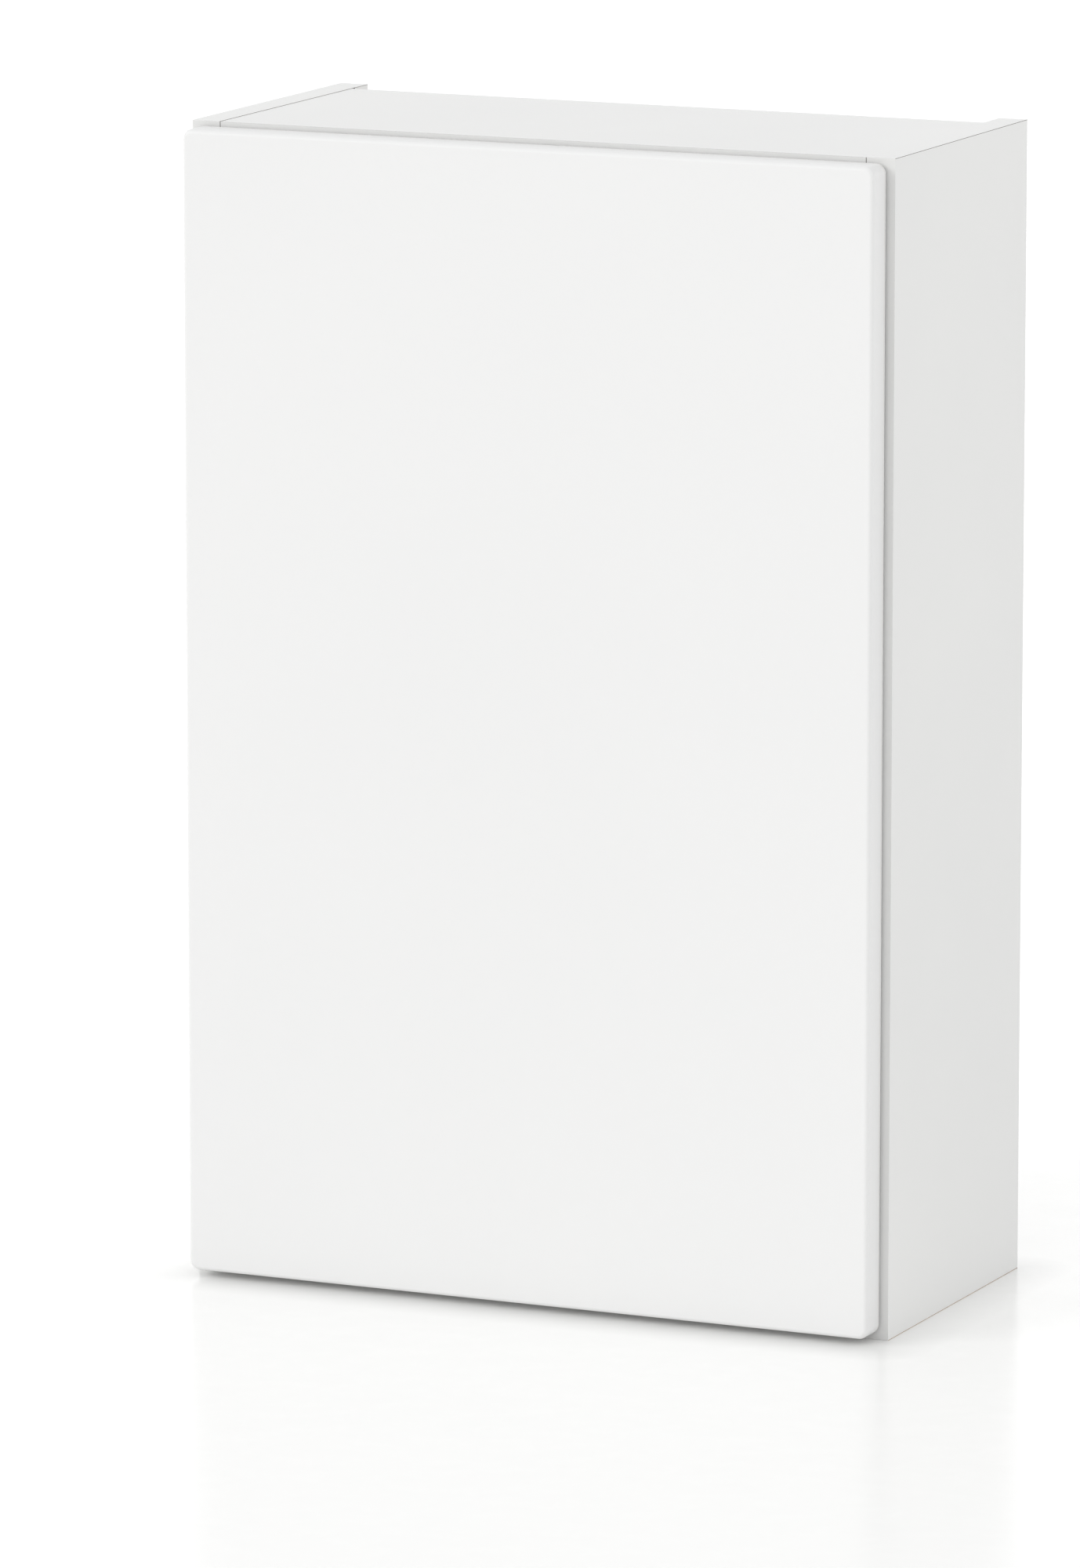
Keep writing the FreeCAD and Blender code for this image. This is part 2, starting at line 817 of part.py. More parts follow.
keep("latch_housing", latch_housing())
keep("latch_screws", latch_screws())
keep("latch_plunger", latch_plunger())
keep("latch_magnet", latch_magnet())

hanger_screws = []
hanger_adjusters = []
for side, name in ((-1, "left"), (1, "right")):
    keep("hanger_housing_" + name, hanger_housing(side))
    keep("hanger_hook_" + name, hanger_hook(side))
    hanger_screws.extend([hanger_screw(side, 1), hanger_screw(side, -1)])
    hanger_adjusters.extend(hanger_adjusters_at(side))
keep("hanger_screws", hanger_screws)
keep("hanger_adjusters", hanger_adjusters)
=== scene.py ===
import json
import math
import bmesh
import bpy
from mathutils import Matrix, Vector


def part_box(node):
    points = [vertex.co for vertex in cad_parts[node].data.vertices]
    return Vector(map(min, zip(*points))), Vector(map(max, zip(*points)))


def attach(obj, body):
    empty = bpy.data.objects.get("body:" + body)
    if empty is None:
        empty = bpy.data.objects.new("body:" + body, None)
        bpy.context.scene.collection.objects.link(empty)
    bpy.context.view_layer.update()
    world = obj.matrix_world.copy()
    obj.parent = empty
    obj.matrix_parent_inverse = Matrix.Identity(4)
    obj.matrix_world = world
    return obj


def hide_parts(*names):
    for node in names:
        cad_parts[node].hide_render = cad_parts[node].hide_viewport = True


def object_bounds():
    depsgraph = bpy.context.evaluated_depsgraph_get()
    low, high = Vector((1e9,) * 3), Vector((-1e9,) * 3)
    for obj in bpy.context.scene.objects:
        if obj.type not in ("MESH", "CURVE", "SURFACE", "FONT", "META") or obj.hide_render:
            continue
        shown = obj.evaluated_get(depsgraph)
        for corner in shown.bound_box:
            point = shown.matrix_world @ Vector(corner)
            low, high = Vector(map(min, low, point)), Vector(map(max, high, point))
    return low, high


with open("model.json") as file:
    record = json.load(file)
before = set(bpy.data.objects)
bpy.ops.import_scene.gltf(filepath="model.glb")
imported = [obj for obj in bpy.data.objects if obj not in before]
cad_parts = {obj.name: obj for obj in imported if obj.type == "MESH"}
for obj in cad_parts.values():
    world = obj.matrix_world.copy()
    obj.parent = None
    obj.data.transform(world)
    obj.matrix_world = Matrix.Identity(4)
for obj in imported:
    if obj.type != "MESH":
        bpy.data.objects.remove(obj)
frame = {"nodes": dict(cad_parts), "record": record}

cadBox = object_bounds()
mm = 0.001
print("frame loaded:", len(frame["nodes"]), "parts")


# Camera: right of the door and a little above it, with a long lens
cameraView = {"place": (2.204, -4.955, 1.278), "turn": 24.33, "tilt": 10.57, "lens": 238.2}


def addCamera(view):
    data = bpy.data.cameras.new("camera")
    data.lens = view["lens"]
    data.sensor_width = 36
    data.clip_end = 100
    camera = bpy.data.objects.new("camera", data)
    bpy.context.collection.objects.link(camera)
    camera.location = view["place"]
    camera.rotation_euler = (math.radians(90 - view["tilt"]), 0, math.radians(view["turn"]))
    bpy.context.scene.camera = camera


addCamera(cameraView)
bpy.context.scene.view_settings.view_transform = "Standard"
print("camera placed")


# Soft studio light: a bright room, a wide soft key up and left of the door, a weak fill at the
# right and a lit backdrop that the floor mirrors
studio = {"room": (0.995, 0.997, 1.0), "roomStrength": 0.812,
          "keyFrom": (-0.15, -0.15, 0.09), "keySoftness": 30, "keyPower": 0.79,
          "keyColour": (1.0, 0.998, 0.99),
          "fillFrom": (0.095, 0.0, 0.03), "fillSoftness": 60, "fillPower": 0.165,
          "fillColour": (1.0, 0.995, 0.98),
          "backPlace": (-2.0, 8.5, 1.7), "backWide": 18, "backHigh": 3.4, "backPower": 110}


def lightStudio(values):
    world = bpy.data.worlds.new("studio")
    bpy.context.scene.world = world
    world.use_nodes = True
    background = world.node_tree.nodes["Background"]
    background.inputs["Color"].default_value = (*values["room"], 1)
    background.inputs["Strength"].default_value = values["roomStrength"]
    for name in ("key", "fill"):
        data = bpy.data.lights.new(name, "SUN")
        data.angle = math.radians(values[name + "Softness"])
        data.energy = values[name + "Power"]
        data.color = values[name + "Colour"]
        lamp = bpy.data.objects.new(name, data)
        bpy.context.collection.objects.link(lamp)
        lamp.rotation_euler = Vector(values[name + "From"]).to_track_quat("Z", "Y").to_euler()
    data = bpy.data.lights.new("lit backdrop", "AREA")
    data.shape = "RECTANGLE"
    data.size = values["backWide"]
    data.size_y = values["backHigh"]
    data.energy = values["backPower"]
    lamp = bpy.data.objects.new("lit backdrop", data)
    bpy.context.collection.objects.link(lamp)
    lamp.location = values["backPlace"]
    lamp.rotation_euler = (math.radians(-90), 0, 0)


lightStudio(studio)
print("lights placed")


# Finishes: procedural patterns on Object coordinates, with scales per metre
noiseMiddle = (0.3, 0.7)  # most of a noise lies between these
grainValues = {"detail": 4.0, "roughness": 0.6, "bump": 0.35}


def newFinish(name, roughness, metallic=0.0):
    material = bpy.data.materials.new(name)
    material.use_nodes = True
    shader = material.node_tree.nodes["Principled BSDF"]
    shader.inputs["Roughness"].default_value = roughness
    shader.inputs["Metallic"].default_value = metallic
    return material, shader


def objectPoints(material, stretch=(1, 1, 1)):
    tree = material.node_tree
    points = tree.nodes.new("ShaderNodeTexCoord")
    mapping = tree.nodes.new("ShaderNodeMapping")
    mapping.inputs["Scale"].default_value = stretch
    tree.links.new(points.outputs["Object"], mapping.inputs["Vector"])
    return mapping.outputs["Vector"]


def noise(material, points, scale, detail=3.0, roughness=0.5):
    tree = material.node_tree
    node = tree.nodes.new("ShaderNodeTexNoise")
    node.inputs["Scale"].default_value = scale
    node.inputs["Detail"].default_value = detail
    node.inputs["Roughness"].default_value = roughness
    tree.links.new(points, node.inputs["Vector"])
    return node.outputs["Fac"]


def ramp(material, value, stops):
    tree = material.node_tree
    node = tree.nodes.new("ShaderNodeValToRGB")
    elements = node.color_ramp.elements
    elements[0].position, elements[0].color = stops[0][0], (*stops[0][1], 1)
    elements[1].position, elements[1].color = stops[-1][0], (*stops[-1][1], 1)
    for place, colour in stops[1:-1]:
        elements.new(place).color = (*colour, 1)
    tree.links.new(value, node.inputs["Fac"])
    return node.outputs["Color"]


def spread(material, value, low, high):
    # stretches the middle of a noise over the whole range
    tree = material.node_tree
    node = tree.nodes.new("ShaderNodeMapRange")
    node.inputs["From Min"].default_value = noiseMiddle[0]
    node.inputs["From Max"].default_value = noiseMiddle[1]
    node.inputs["To Min"].default_value = low
    node.inputs["To Max"].default_value = high
    tree.links.new(value, node.inputs["Value"])
    return node.outputs["Result"]


def bump(material, shader, value, strength, distance):
    tree = material.node_tree
    node = tree.nodes.new("ShaderNodeBump")
    node.inputs["Strength"].default_value = strength
    node.inputs["Distance"].default_value = distance
    tree.links.new(value, node.inputs["Height"])
    tree.links.new(node.outputs["Normal"], shader.inputs["Normal"])


def grained(name, light, dark, roughness, patch, grain, depth, metallic=0.0, stretch=(1, 1, 1)):
    # patch is the scale of the broad colour drift, grain that of the fine surface, depth its height
    material, shader = newFinish(name, roughness[0], metallic)
    links = material.node_tree.links
    points = objectPoints(material, stretch)
    patches = noise(material, points, patch)
    drift = ramp(material, patches, [(noiseMiddle[0], dark), (noiseMiddle[1], light)])
    links.new(drift, shader.inputs["Base Color"])
    fine = noise(material, points, grain, grainValues["detail"], grainValues["roughness"])
    links.new(spread(material, fine, *roughness), shader.inputs["Roughness"])
    bump(material, shader, fine, grainValues["bump"], depth)
    return material, shader


def melamine():
    # white laminate with a fine pearl grain
    material, shader = grained("white melamine", (0.868, 0.868, 0.858), (0.848, 0.849, 0.842),
                               (0.42, 0.52), 7.0, 1400.0, 0.06 * mm)
    shader.inputs["Specular IOR Level"].default_value = 0.4
    return material


def doorFoil():
    # smoother foil with a slight ripple from the board under it
    material, shader = grained("white door foil", (0.885, 0.885, 0.882), (0.872, 0.872, 0.87),
                               (0.36, 0.44), 4.0, 260.0, 0.04 * mm)
    shader.inputs["Specular IOR Level"].default_value = 0.4
    return material


def edgeBanding():
    return grained("edge banding", (0.83, 0.83, 0.82), (0.80, 0.80, 0.79),
                   (0.3, 0.4), 12.0, 900.0, 0.03 * mm)[0]


def glueLine(name, light, dark):
    return grained(name, light, dark, (0.5, 0.7), 300.0, 1500.0, 0.05 * mm)[0]


def rawBoard():
    # pressed chips: coarse flakes over fine dust
    material, shader = newFinish("raw particle board", 0.85)
    links = material.node_tree.links
    points = objectPoints(material)
    flakes = material.node_tree.nodes.new("ShaderNodeTexVoronoi")
    flakes.inputs["Scale"].default_value = 520.0
    links.new(points, flakes.inputs["Vector"])
    chips = ramp(material, flakes.outputs["Distance"],
                 [(0.0, (0.22, 0.14, 0.08)), (0.4, (0.44, 0.32, 0.21)), (1.0, (0.6, 0.47, 0.33))])
    links.new(chips, shader.inputs["Base Color"])
    bump(material, shader, flakes.outputs["Distance"], 0.6, 0.3 * mm)
    return material


def hardboard():
    return grained("painted hardboard", (0.77, 0.77, 0.76), (0.73, 0.73, 0.72),
                   (0.5, 0.66), 18.0, 700.0, 0.1 * mm)[0]


def platedMetal(name, light, dark, roughness, stretch=(1, 1, 1)):
    return grained(name, light, dark, roughness, 140.0, 1100.0, 0.015 * mm, 1.0, stretch)[0]


def mouldedPlastic(name, light, dark, roughness):
    return grained(name, light, dark, roughness, 25.0, 1100.0, 0.05 * mm)[0]


def beechWood():
    # growth rings along the dowel, with short darker flecks
    material, shader = newFinish("beech", 0.6)
    links = material.node_tree.links
    points = objectPoints(material, (1, 9, 9))
    rings = material.node_tree.nodes.new("ShaderNodeTexWave")
    rings.bands_direction = "Y"
    rings.inputs["Scale"].default_value = 18.0
    rings.inputs["Distortion"].default_value = 6.0
    links.new(points, rings.inputs["Vector"])
    wood = ramp(material, rings.outputs["Fac"], [(0.0, (0.55, 0.36, 0.2)), (1.0, (0.72, 0.53, 0.33))])
    links.new(wood, shader.inputs["Base Color"])
    bump(material, shader, rings.outputs["Fac"], 0.3, 0.2 * mm)
    return material


def ferrite():
    return grained("ferrite", (0.07, 0.07, 0.075), (0.03, 0.03, 0.035),
                   (0.5, 0.7), 400.0, 2500.0, 0.1 * mm)[0]


def clearSilicone():
    material, shader = grained("clear silicone", (0.86, 0.87, 0.86), (0.8, 0.81, 0.8),
                               (0.22, 0.34), 90.0, 900.0, 0.04 * mm)
    shader.inputs["Transmission Weight"].default_value = 0.55
    shader.inputs["IOR"].default_value = 1.41
    return material


whiteMelamine = melamine()
whiteFoil = doorFoil()
whiteBand = edgeBanding()
chipboard = rawBoard()
# the dark glue colour also serves as painted shade inside the back-panel groove
darkGlueAndGrooveShade = glueLine("glue line", (0.24, 0.228, 0.212), (0.16, 0.152, 0.14))
warmSeam = glueLine("foil seam", (0.70, 0.66, 0.59), (0.62, 0.57, 0.5))
nickel = platedMetal("nickel-plated steel", (0.72, 0.71, 0.69), (0.65, 0.64, 0.62), (0.2, 0.3),
                     (1, 1, 0.12))
dullZinc = platedMetal("dull zinc", (0.60, 0.60, 0.62), (0.47, 0.47, 0.49), (0.36, 0.52))
brightZinc = platedMetal("bright zinc", (0.76, 0.76, 0.77), (0.62, 0.62, 0.63), (0.18, 0.32))
whiteNylon = mouldedPlastic("white nylon", (0.78, 0.78, 0.77), (0.74, 0.74, 0.73), (0.42, 0.55))
greyNylon = mouldedPlastic("grey nylon", (0.34, 0.35, 0.36), (0.29, 0.30, 0.31), (0.38, 0.5))
finishes = {"white_board": whiteMelamine, "back_board": hardboard(), "door_foil": whiteFoil,
            "hinge_steel": nickel, "zinc_fittings": dullZinc, "screw_steel": brightZinc,
            "white_plastic": whiteNylon, "grey_plastic": greyNylon, "magnet": ferrite(),
            "beech": beechWood(), "bumper_rubber": clearSilicone()}
nodeSlots = {part["node"]: part["material_slot"] for part in frame["record"]["subparts"]}
nodeBodies = {node: body for body, nodes in frame["record"]["behaviour"]["bodies"].items()
              for node in nodes}
for node, part in frame["nodes"].items():
    part.data.materials.clear()
    part.data.materials.append(finishes[nodeSlots[node]])
print("finishes made")


# Shared tools for the pieces
shaping = {"merge": 0.002 * mm, "weld": 0.001 * mm, "flatten": 0.5, "roundFrom": 40, "sharpFrom": 38}


def finishPiece(name, bm, materials, body, replaced=(), sharp=shaping["sharpFrom"]):
    mesh = bpy.data.meshes.new(name)
    bm.to_mesh(mesh)
    bm.free()
    for material in materials:
        mesh.materials.append(material)
    mesh.shade_smooth()
    mesh.set_sharp_from_angle(angle=math.radians(sharp))
    piece = bpy.data.objects.new(name, mesh)
    bpy.context.collection.objects.link(piece)
    weighted = piece.modifiers.new("even shading", "WEIGHTED_NORMAL")
    weighted.keep_sharp = True
    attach(piece, body)
    if replaced:
        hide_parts(*replaced)


def mergedCopy(node):
    bm = bmesh.new()
    bm.from_mesh(frame["nodes"][node].data)
    bmesh.ops.remove_doubles(bm, verts=bm.verts, dist=shaping["merge"])
    bmesh.ops.dissolve_limit(bm, angle_limit=math.radians(shaping["flatten"]),
                             use_dissolve_boundaries=False, verts=bm.verts, edges=bm.edges)
    return bm


def roundEdges(bm, radius, segments=2):
    least = math.radians(shaping["roundFrom"])
    sharp = [edge for edge in bm.edges if edge.is_manifold and edge.calc_face_angle(0) > least]
    bmesh.ops.bevel(bm, geom=sharp, offset=radius, offset_type="OFFSET", segments=segments,
                    profile=0.5, affect="EDGES", clamp_overlap=True, material=-1)


def cutAcross(bm, point, normal):
    bmesh.ops.bisect_plane(bm, geom=bm.verts[:] + bm.edges[:] + bm.faces[:], dist=shaping["weld"],
                           plane_co=point, plane_no=normal)


def block(low, high):
    low, high = Vector(low), Vector(high)
    bm = bmesh.new()
    bmesh.ops.create_cube(bm, size=1)
    bmesh.ops.scale(bm, vec=high - low, verts=bm.verts)
    bmesh.ops.translate(bm, vec=(high + low) / 2, verts=bm.verts)
    return bm


def joinInto(bm, other):
    spare = bpy.data.meshes.new("spare")
    other.to_mesh(spare)
    other.free()
    bm.from_mesh(spare)
    bpy.data.meshes.remove(spare)


def turned(profile, place, axis, steps):
    # profile: (radius, height) pairs along the axis, from the near end to the far one
    bm = bmesh.new()
    corners = [bm.verts.new((radius, 0, height)) for radius, height in profile]
    for first, second in zip(corners, corners[1:]):
        bm.edges.new((first, second))
    bmesh.ops.spin(bm, geom=bm.verts[:] + bm.edges[:], cent=(0, 0, 0), axis=(0, 0, 1),
                   angle=2 * math.pi, steps=steps, use_merge=True)
    bmesh.ops.remove_doubles(bm, verts=bm.verts, dist=shaping["weld"])
    bmesh.ops.recalc_face_normals(bm, faces=bm.faces)
    turn = Vector((0, 0, 1)).rotation_difference(Vector(axis)).to_matrix().to_4x4()
    bmesh.ops.transform(bm, matrix=Matrix.Translation(place) @ turn, verts=bm.verts)
    return bm


def nodeIslands(node):
    # lowest and highest corners of each separate solid in a grouped part
    bm = bmesh.new()
    bm.from_mesh(frame["nodes"][node].data)
    bmesh.ops.remove_doubles(bm, verts=bm.verts, dist=shaping["merge"])
    left = set(bm.verts)
    boxes = []
    while left:
        start = left.pop()
        found, reached = [start], [start]
        while reached:
            vert = reached.pop()
            for link in vert.link_edges:
                other = link.other_vert(vert)
                if other in left:
                    left.remove(other)
                    found.append(other)
                    reached.append(other)
        low = Vector([min(vert.co[axis] for vert in found) for axis in range(3)])
        high = Vector([max(vert.co[axis] for vert in found) for axis in range(3)])
        boxes.append((low, high))
    bm.free()
    return sorted(boxes, key=lambda pair: tuple(round(value, 4) for value in pair[0]))


# Carcass boards: laminate faces, raw chip where they are cut or drilled, banding on the edges
boards = {"edge": 0.15 * mm, "band": 0.5 * mm, "topBand": 0.1 * mm, "proud": 0.1 * mm,
          "topProud": 0.22 * mm, "bandEdge": 0.06 * mm, "gap": 0.04 * mm, "joint": 0.42 * mm,
          "rawFoot": 0.28 * mm, "grooveMargin": 0.5 * mm, "rim": 0.4 * mm,
          "atEnd": 0.02 * mm, "square": 0.99, "sideways": 0.9}
front, rearFace, topFace, bottomFace = (1, -1), (1, 1), (2, 1), (2, -1)  # axis and its end
plain, chips, glueAndShade = 0, 1, 2  # order of a board's materials: its faces, its core, its glue lines, which also paint the shade in the back-panel groove


def outerFace(face, low, high):
    for axis in range(3):
        for end, limit in ((-1, low[axis]), (1, high[axis])):
            square = abs(face.normal[axis]) > boards["square"]
            if square and abs(face.calc_center_median()[axis] - limit) < boards["atEnd"]:
                return axis, end
    return None


def boardFinish(face, low, high, cuts):
    # cuts gives what shows on each cut end; faces inside holes and grooves show the chips
    centre = face.calc_center_median()
    if bottomFace in cuts and centre.z < low.z + boards["rawFoot"]:
        return chips
    outside = outerFace(face, low, high)
    if outside:
        return cuts.get(outside, plain)
    near = [(axis, -1) for axis in range(3) if centre[axis] - low[axis] < boards["rim"]]
    near += [(axis, 1) for axis in range(3) if high[axis] - centre[axis] < boards["rim"]]
    if not near:
        return chips
    return next((cuts[end] for end in near if end in cuts), plain)


def makeBoard(node, cuts):
    low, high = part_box(node)
    grooveLow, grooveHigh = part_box("back_panel")
    margin = boards["grooveMargin"]
    bm = mergedCopy(node)
    roundEdges(bm, boards["edge"], 1)
    if bottomFace in cuts:
        cutAcross(bm, (0, 0, low.z + boards["rawFoot"]), (0, 0, 1))
    for face in bm.faces:
        face.material_index = boardFinish(face, low, high, cuts)
        depth = face.calc_center_median().y
        # painted shade: chip faces in the back-panel groove take the dark glue colour so the recess
        # reads black
        paintedGrooveShade = grooveLow.y - margin < depth < grooveHigh.y + margin
        if paintedGrooveShade and face.material_index == chips:
            face.material_index = glueAndShade
    finishPiece(node + "_board", bm, [whiteMelamine, chipboard, darkGlueAndGrooveShade], nodeBodies[node],
                [node])


def band(node, place, low, high, cutSides=False):
    # thin strip glued on a board's edge; its own cut sides show the glue
    bm = block(low, high)
    roundEdges(bm, boards["bandEdge"])
    for face in bm.faces:
        face.material_index = 1 if cutSides and abs(face.normal.x) > boards["sideways"] else 0
    finishPiece(node + place, bm, [whiteMelamine if cutSides else whiteBand, darkGlueAndGrooveShade],
                nodeBodies[node])


def frontBand(node, ends):
    low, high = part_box(node)
    gap = boards["gap"]
    band(node, "_front_band", (low.x + ends, low.y - boards["proud"], low.z + gap),
         (high.x - ends, low.y + boards["band"], high.z - gap))


def sideBands(node):
    low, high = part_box(node)
    gap, proud, thick = (boards[key] for key in ("gap", "proud", "band"))
    frontBand(node, gap)
    band(node, "_rear_band", (low.x + gap, high.y - thick, low.z + gap),
         (high.x - gap, high.y + proud, high.z - gap))
    band(node, "_top_band", (low.x, low.y - proud, high.z - boards["topBand"]),
         (high.x, high.y + proud, high.z + boards["topProud"]), True)


for node in ("side_panel_left", "side_panel_right"):
    makeBoard(node, {topFace: glueAndShade, bottomFace: chips})
    sideBands(node)
for node in ("top_panel", "bottom_panel"):
    makeBoard(node, {front: glueAndShade, rearFace: chips})
    frontBand(node, boards["joint"])
for node in ("shelf_lower", "shelf_upper"):
    makeBoard(node, {rearFace: chips})
    frontBand(node, boards["gap"])
print("boards made")


# Back panel: thin board with softened edges
backValues = {"edge": 0.2 * mm}


def makeBack(values):
    bm = mergedCopy("back_panel")
    roundEdges(bm, values["edge"], 1)
    finishPiece("back_board", bm, [finishes["back_board"]], "carcass", ["back_panel"])


makeBack(backValues)


# Door: foil-wrapped slab; the bores in its back show the chip core
doorValues = {"seamFrom": 1.1 * mm, "seamWidth": 0.25 * mm, "rim": 3 * mm, "skin": 0.1 * mm,
              "sharpFrom": 50}


def makeDoor(values):
    low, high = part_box("door_panel")
    bm = mergedCopy("door_panel")
    seam = high.y - values["seamFrom"]
    for cut in (seam, seam - values["seamWidth"]):  # where the foil of the front meets the rear sheet
        cutAcross(bm, (0, cut, 0), (0, 1, 0))
    for face in bm.faces:
        centre = face.calc_center_median()
        outer = min(centre.x - low.x, high.x - centre.x, centre.z - low.z, high.z - centre.z)
        if outer > values["rim"]:
            bored = low.y + values["rim"] < centre.y < high.y - values["skin"]
            face.material_index = chips if bored else plain
        else:
            face.material_index = glueAndShade if seam - values["seamWidth"] < centre.y < seam else plain
    finishPiece("door_slab", bm, [whiteFoil, chipboard, warmSeam], "door",
                ["door_panel"], values["sharpFrom"])


makeDoor(doorValues)
print("door made")


# Hinges, latch, hangers, screws and nails: the designed shapes with their edges broken
metalEdges = {  # radius of the broken edges, in millimetres
    "hinge_plate_top": 0.4, "hinge_plate_bottom": 0.4, "hinge_arm_top": 0.3, "hinge_arm_bottom": 0.3,
    "hinge_cup_top": 0.2, "hinge_cup_bottom": 0.2, "outer_link_top": 0.25, "outer_link_bottom": 0.25,
    "inner_link_top": 0.4, "inner_link_bottom": 0.4, "plate_screws": 0.25, "arm_screws": 0.25,
    "latch_housing": 0.5, "latch_screws": 0.25, "hanger_housing_left": 0.3,
    "hanger_housing_right": 0.3, "hanger_hook_left": 0.6, "hanger_hook_right": 0.6,
    "hanger_screws": 0.25, "hanger_adjusters": 0.25, "back_nails": 0.15}
for node, radius in metalEdges.items():
    bm = mergedCopy(node)
    roundEdges(bm, radius * mm)
    finishPiece(node + "_piece", bm, [finishes[nodeSlots[node]]], nodeBodies[node],
                [node])
print("metalwork made")


# Bumpers: soft domes stuck to the back of the door
bumperValues = {"rim": 0.35, "arcStep": 15, "sharpFrom": 60, "steps": 28}


def makeBumpers(values):
    whole = bmesh.new()
    for low, high in nodeIslands("door_bumpers"):
        centre = (low + high) / 2
        radius, height = (high.x - low.x) / 2, high.y - low.y
        shape = [(0, 0), (radius, 0), (radius, height * values["rim"])]
        for turn in range(values["arcStep"], 91, values["arcStep"]):
            angle = math.radians(turn)
            shape.append((radius * math.cos(angle),
                          height * (values["rim"] + (1 - values["rim"]) * math.sin(angle))))
        shape[-1] = (0, height)
        joinInto(whole, turned(shape, (centre.x, low.y, centre.z), (0, 1, 0), values["steps"]))
    finishPiece("bumper_domes", whole, [finishes["bumper_rubber"]], "door",
                ["door_bumpers"], values["sharpFrom"])


makeBumpers(bumperValues)


# Cam caps: pressed-in covers with a thin raised rim
capValues = {"rim": 1.0 * mm, "dish": 0.35 * mm, "slope": 0.3 * mm, "wall": 0.55,
             "reach": 5 * mm, "steps": 36}


def makeCamCaps(values):
    whole = bmesh.new()
    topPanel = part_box("top_panel")[0].z
    for low, high in nodeIslands("cam_caps"):
        centre = (low + high) / 2
        radius, height = (high.x - low.x) / 2, high.z - low.z
        down = centre.z > topPanel - values["reach"]  # caps in the top panel face down
        start = high.z if down else low.z
        axis = (0, 0, -1) if down else (0, 0, 1)
        slope, inner, dished = values["slope"], radius - values["rim"], height - values["dish"]
        shape = [(0, 0), (radius, 0), (radius, height * values["wall"]), (radius - slope, height),
                 (inner, height), (inner - slope, dished), (0, dished)]
        joinInto(whole, turned(shape, (centre.x, centre.y, start), axis, values["steps"]))
    finishPiece("cam_cap_covers", whole, [whiteNylon], "carcass", ["cam_caps"])


makeCamCaps(capValues)


# Shelf pins: turned steel with a chamfered nose and a shallow waist at the board
pinValues = {"chamfer": 0.5 * mm, "waist": 0.25 * mm, "grooveAt": (0.5, 0.52, 0.56, 0.58), "steps": 24}


def makeShelfPins(values):
    whole = bmesh.new()
    for low, high in nodeIslands("shelf_pins"):
        centre = (low + high) / 2
        radius, length = (high.z - low.z) / 2, high.x - low.x
        chamfer, waist = values["chamfer"], radius - values["waist"]
        begin, deep, shallow, end = (length * part for part in values["grooveAt"])
        shape = [(0, 0), (radius - chamfer, 0), (radius, chamfer), (radius, begin), (waist, deep),
                 (waist, shallow), (radius, end), (radius, length - chamfer),
                 (radius - chamfer, length), (0, length)]
        outward = 1 if centre.x < 0 else -1
        start = low.x if outward > 0 else high.x
        joinInto(whole, turned(shape, (start, centre.y, centre.z), (outward, 0, 0), values["steps"]))
    finishPiece("shelf_pin_turnings", whole, [dullZinc], "carcass", ["shelf_pins"])


makeShelfPins(pinValues)


# Latch rod: ribbed nylon with a socket for the magnet in its tip
rodValues = {"ribs": 5, "ribPitch": 3.0 * mm, "ribDepth": 0.35 * mm, "tip": 6.0 * mm,
             "nose": 0.4 * mm, "tail": 0.6 * mm, "steps": 32}


def makeLatchRod(values):
    low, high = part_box("latch_plunger")
    magnetLow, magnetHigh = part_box("latch_magnet")
    centre = (low + high) / 2
    radius, length = (high.x - low.x) / 2, high.y - low.y
    socket, depth = (magnetHigh.x - magnetLow.x) / 2, magnetHigh.y - magnetLow.y
    nose, tail, pitch = values["nose"], values["tail"], values["ribPitch"]
    groove = radius - values["ribDepth"]
    shape = [(0, depth), (socket, depth), (socket, 0), (radius - nose, 0), (radius, nose),
             (radius, values["tip"])]
    for rib in range(values["ribs"]):
        start = values["tip"] + rib * pitch
        shape += [(groove, start + pitch / 6), (groove, start + pitch / 2),
                  (radius, start + pitch * 2 / 3), (radius, start + pitch)]
    shape += [(radius, length - tail), (radius - tail, length), (0, length)]
    bm = turned(shape, (centre.x, low.y, centre.z), (0, 1, 0), values["steps"])
    finishPiece("latch_rod", bm, [greyNylon], nodeBodies["latch_plunger"],
                ["latch_plunger"])


makeLatchRod(rodValues)


# Strike plate: stepped steel disc round its countersunk screw
strikeValues = {"step": 1.4 * mm, "drop": 0.3 * mm, "sink": 0.9 * mm, "clear": 0.02 * mm,
                "rim": 0.2 * mm, "steps": 40}


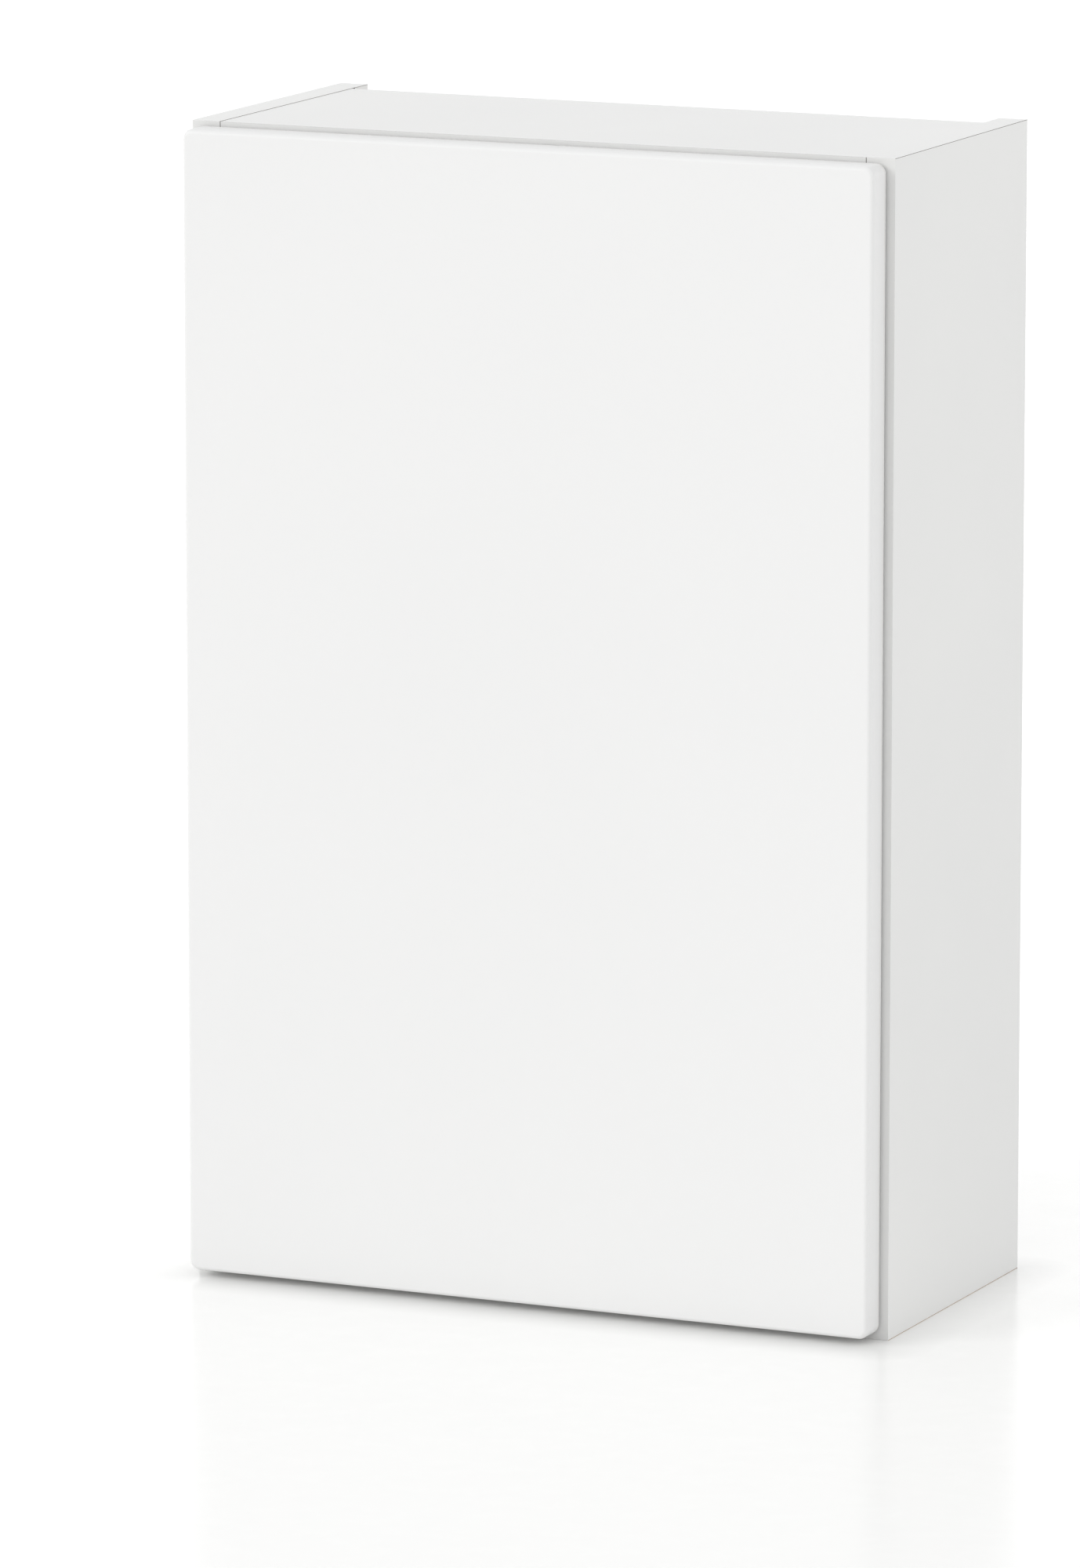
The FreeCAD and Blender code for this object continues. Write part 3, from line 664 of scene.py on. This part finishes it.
def makeStrike(values):
    low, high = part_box("strike_plate")
    screwLow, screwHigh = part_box("strike_screw")
    centre = (low + high) / 2
    radius, height = (high.x - low.x) / 2, high.y - low.y
    hole = (screwHigh.x - screwLow.x) / 2
    rim, lower, step = values["rim"], height - values["drop"], radius - values["step"]
    shape = [(hole - values["sink"], 0), (radius, 0), (radius, lower),
             (radius - rim, lower + rim / 2), (step, height - rim / 4), (step - rim / 2, height),
             (hole + values["clear"], height), (hole - values["sink"], 0)]
    bm = turned(shape, (centre.x, low.y, centre.z), (0, 1, 0), values["steps"])
    finishPiece("strike_disc", bm, [nickel], "door", ["strike_plate"])


makeStrike(strikeValues)
print("small fittings made")


# Floor: a glossy white sweep with a painted glow, dimmed under the cabinet as painted shade
floorValues = {"half": 14.0, "glowFull": 0.03, "glowUnder": 0.02, "glow": 0.12}


def vectorStep(material, operation, vector, other=None):
    node = material.node_tree.nodes.new("ShaderNodeVectorMath")
    node.operation = operation
    material.node_tree.links.new(vector, node.inputs[0])
    if other:
        node.inputs[1].default_value = other
    return node.outputs["Value" if operation == "LENGTH" else "Vector"]


def paleFloor(values):
    # painted light: the floor glows everywhere, and the glow drops under the cabinet and within a few
    # centimetres of it as painted shade
    material, shader = grained("pale floor", (0.905, 0.905, 0.895), (0.89, 0.89, 0.88),
                               (0.16, 0.24), 0.6, 40.0, 0.05 * mm)
    shader.inputs["Specular IOR Level"].default_value = 0.18
    shader.inputs["Emission Color"].default_value = (1.0, 1.0, 1.0, 1)
    away = vectorStep(material, "ABSOLUTE", objectPoints(material))
    away = vectorStep(material, "SUBTRACT", away, (cadBox[1].x, cadBox[1].y, 0))
    away = vectorStep(material, "MAXIMUM", away, (0, 0, 0))
    tree = material.node_tree
    # painted glow and painted shade: emission strength grows with the distance outside the cabinet's
    # footprint
    glow = tree.nodes.new("ShaderNodeMapRange")
    glow.inputs["From Max"].default_value = values["glowFull"]
    glow.inputs["To Min"].default_value = values["glowUnder"]
    glow.inputs["To Max"].default_value = values["glow"]
    tree.links.new(vectorStep(material, "LENGTH", away), glow.inputs["Value"])
    tree.links.new(glow.outputs["Result"], shader.inputs["Emission Strength"])
    return material


def makeFloor(values):
    bm = bmesh.new()
    bmesh.ops.create_grid(bm, x_segments=1, y_segments=1, size=values["half"])
    mesh = bpy.data.meshes.new("floor")
    bm.to_mesh(mesh)
    bm.free()
    mesh.materials.append(paleFloor(values))
    floor = bpy.data.objects.new("floor", mesh)
    bpy.context.collection.objects.link(floor)


makeFloor(floorValues)

print("scene ready")
